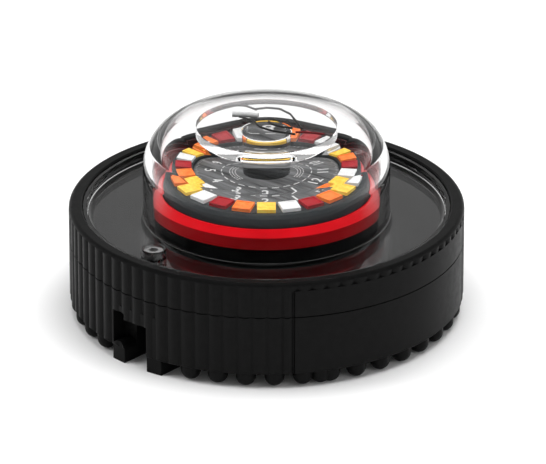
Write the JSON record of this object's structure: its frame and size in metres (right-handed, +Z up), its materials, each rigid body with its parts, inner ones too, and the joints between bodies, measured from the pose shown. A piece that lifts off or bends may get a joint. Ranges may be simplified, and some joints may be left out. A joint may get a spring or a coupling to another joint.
{
  "type": "led warning beacon",
  "caption": "Low-profile warning beacon: clear dome over a ring of square LEDs in four colours, red ring, black pedestal, fluted black housing on rounded feet, magnetic base.",
  "frame": {"origin": "centre of the base, on the surface the beacon stands on", "axes": "+Z up along the lens axis; the cable slot opens towards -Y"},
  "size_m": [0.104, 0.104, 0.0558],
  "materials": {
    "bezel_plastic": "moulded black nylon, fine even texture",
    "black_nylon": "black nylon",
    "black_pedestal": "black anodised aluminium",
    "board_green": "green solder mask",
    "board_slate": "dark solder mask",
    "brass": "brass spacers",
    "can_aluminium": "capacitor cans",
    "carrier_slate": "dark slate coated aluminium",
    "chip_black": "black epoxy",
    "clear_guide": "polished clear acrylic",
    "clear_lens": "polished clear polycarbonate",
    "ferrite": "dark ferrite",
    "grey_pad": "grey silicone",
    "housing_plastic": "moulded black nylon, fine even texture",
    "led_orange": "orange phosphor",
    "led_red": "deep red resin",
    "led_white": "white phosphor",
    "led_yellow": "yellow phosphor",
    "pad_rubber": "black rubber with fine grain",
    "printed_disc": "dark turned disc with light ticks",
    "red_ring": "moulded red plastic, satin",
    "seal_rubber": "black silicone",
    "sleeve_clear": "pale shrink sleeve",
    "stainless": "stainless screws",
    "terminal_green": "green terminal body",
    "tray_black": "black moulding",
    "wire_black": "black insulation",
    "wire_red": "dark red insulation",
    "zinc_steel": "zinc plated steel"
  },
  "bodies": {
    "base": {"board_screws": "stainless", "board_standoffs": "brass", "cable_clamp": "black_nylon", "cable_grommet": "seal_rubber", "capacitors": "can_aluminium", "carrier_screws": "stainless", "clamp_screws": "stainless", "dome_lead_red": "wire_red", "dome_leads": "wire_black", "driver_board": "board_green", "driver_chips": "chip_black", "inductors": "ferrite", "inner_tray": "tray_black", "lead_sleeve": "sleeve_clear", "led_board": "board_slate", "led_carrier": "carrier_slate", "led_harness": "wire_black", "lens": "clear_lens", "lens_screws": "stainless", "lens_seal": "seal_rubber", "light_guide": "clear_guide", "lower_housing": "housing_plastic", "magnet_cup": "zinc_steel", "magnet_pad": "pad_rubber", "magnet_screw": "stainless", "orange_leds": "led_orange", "pedestal": "black_pedestal", "pedestal_screws": "stainless", "pole_disc": "zinc_steel", "printed_disc": "printed_disc", "red_leds": "led_red", "red_ring": "red_ring", "ring_magnet": "ferrite", "terminal_block": "terminal_green", "thermal_pad": "grey_pad", "vent_plug": "black_nylon", "white_leds": "led_white", "yellow_leds": "led_yellow"},
    "bezel": {"upper_bezel": "bezel_plastic"}
  },
  "joints": [
    {"name": "bezel_twist", "type": "hinge", "parent": "base", "child": "bezel", "pos_m": [0, 0, 0.0248], "axis": [0, 0, 1], "range_deg": [0, 15]}
  ]
}
